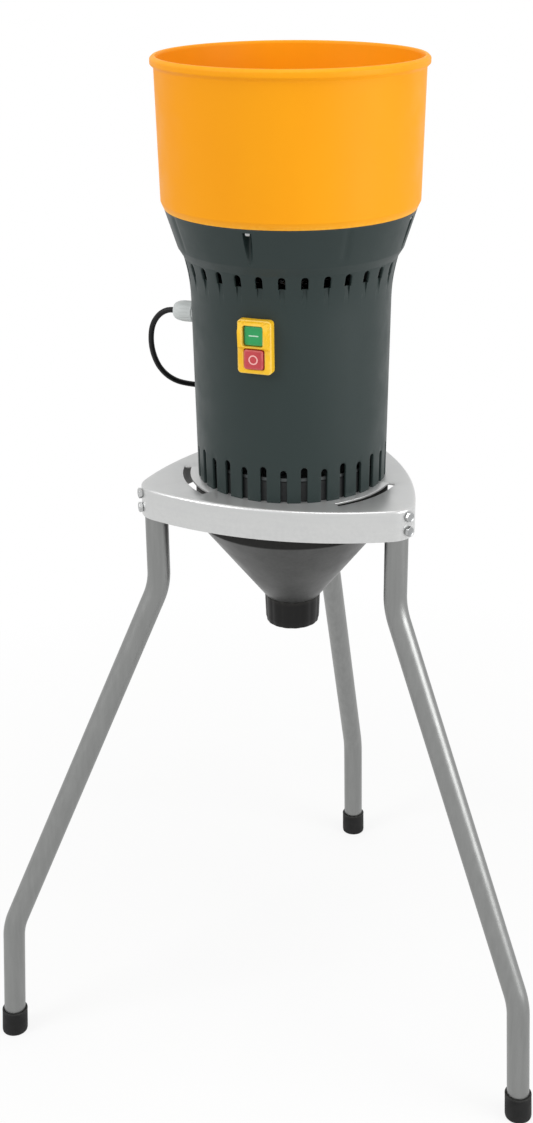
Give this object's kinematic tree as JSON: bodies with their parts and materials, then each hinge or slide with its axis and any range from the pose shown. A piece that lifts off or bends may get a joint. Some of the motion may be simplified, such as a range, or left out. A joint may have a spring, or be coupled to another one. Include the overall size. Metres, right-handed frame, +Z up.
{
  "type": "electric grain mill",
  "caption": "Electric grain mill on a tripod: yellow hopper with a feed gate, motor housing with start and stop buttons, beater blade and sieve, funnel with a sack collar, mains lead.",
  "frame": {"origin": "on the floor, under the middle of the box round the standing mill, without its cord", "axes": "+Z up along the mill's axis, -Y to the front between the two front legs, +X to the right seen from the front"},
  "size_m": [0.6346, 0.5536, 1.117],
  "materials": {
    "hopper_yellow": "orange-yellow moulded plastic, soft gloss",
    "housing_slate": "dark slate-grey moulded plastic, satin",
    "stand_paint": "silver-grey painted sheet steel",
    "leg_paint": "silver-grey metallic paint on steel tube",
    "black_rubber": "black rubber",
    "funnel_grey": "dark grey moulded plastic, semi-gloss",
    "collar_black": "black plastic",
    "zinc": "zinc-plated steel",
    "steel": "bright steel",
    "laminations": "varnished steel laminations",
    "copper_wire": "varnished copper wire",
    "cast_alloy": "cast aluminium",
    "capacitor_can": "drawn aluminium can",
    "black_plastic": "black moulded plastic",
    "switch_yellow": "yellow moulded plastic",
    "start_green": "green moulded plastic",
    "stop_red": "red moulded plastic",
    "gland_grey": "light grey nylon",
    "cord_black": "black cable sheath"
  },
  "bodies": {
    "mill": {"hopper": "hopper_yellow", "hopper_screws": "zinc", "housing": "housing_slate", "feed_chute": "black_plastic", "motor_stator": "laminations", "motor_windings": "copper_wire", "upper_motor_bracket": "cast_alloy", "lower_motor_bracket": "cast_alloy", "upper_bearing": "steel", "lower_bearing": "steel", "motor_tie_bolts": "zinc", "motor_tie_nuts": "zinc", "capacitor": "capacitor_can", "capacitor_clip": "zinc", "internal_leads": "cord_black", "chamber_plate": "cast_alloy", "chamber_gasket": "black_rubber", "chamber_ring": "cast_alloy", "shaft_seal": "black_rubber", "sieve_ring": "steel", "sieve_floor": "steel", "sieve_studs": "zinc", "sieve_wing_nuts": "zinc", "stand_plate": "stand_paint", "housing_bolts": "zinc", "discharge_funnel": "funnel_grey", "spout_collar": "collar_black", "leg_front_left": "leg_paint", "leg_front_right": "leg_paint", "leg_rear": "leg_paint", "foot_front_left": "black_rubber", "foot_front_right": "black_rubber", "foot_rear": "black_rubber", "leg_bolts": "zinc", "leg_washers": "zinc", "leg_nuts": "zinc", "switch_frame": "switch_yellow", "switch_body": "black_plastic", "start_spring": "zinc", "stop_spring": "zinc", "gland_body": "gland_grey", "gland_seal": "black_rubber", "gland_nut": "gland_grey", "gland_locknut": "gland_grey", "mains_cord": "cord_black", "cord_coil": "cord_black", "mains_plug": "cord_black", "cord_tie": "black_plastic"},
    "rotor": {"motor_shaft": "steel", "rotor_core": "laminations", "cooling_fan": "black_plastic", "blade_spacer": "steel", "beater_blade": "steel", "blade_nut": "zinc"},
    "start_button": {"start_button": "start_green"},
    "stop_button": {"stop_button": "stop_red"},
    "feed_gate": {"feed_gate": "zinc", "gate_knob": "black_plastic"}
  },
  "joints": [
    {"name": "rotor_spin", "type": "hinge", "parent": "mill", "child": "rotor", "pos_m": [0, -0.08725, 0.7], "axis": [0, 0, 1], "continuous": true},
    {"name": "start_button_press", "type": "slide", "parent": "mill", "child": "start_button", "axis": [0.0872, 0.9962, 0], "range_m": [0, 0.003], "stiffness_N_per_m": 350, "springref_m": -0.0015, "deforming": ["start_spring"]},
    {"name": "stop_button_press", "type": "slide", "parent": "mill", "child": "stop_button", "axis": [0.0872, 0.9962, 0], "range_m": [0, 0.003], "stiffness_N_per_m": 350, "springref_m": -0.0015, "deforming": ["stop_spring"]},
    {"name": "feed_gate_slide", "type": "slide", "parent": "mill", "child": "feed_gate", "axis": [-0.9962, 0.0872, 0], "range_m": [0, 0.039]}
  ]
}
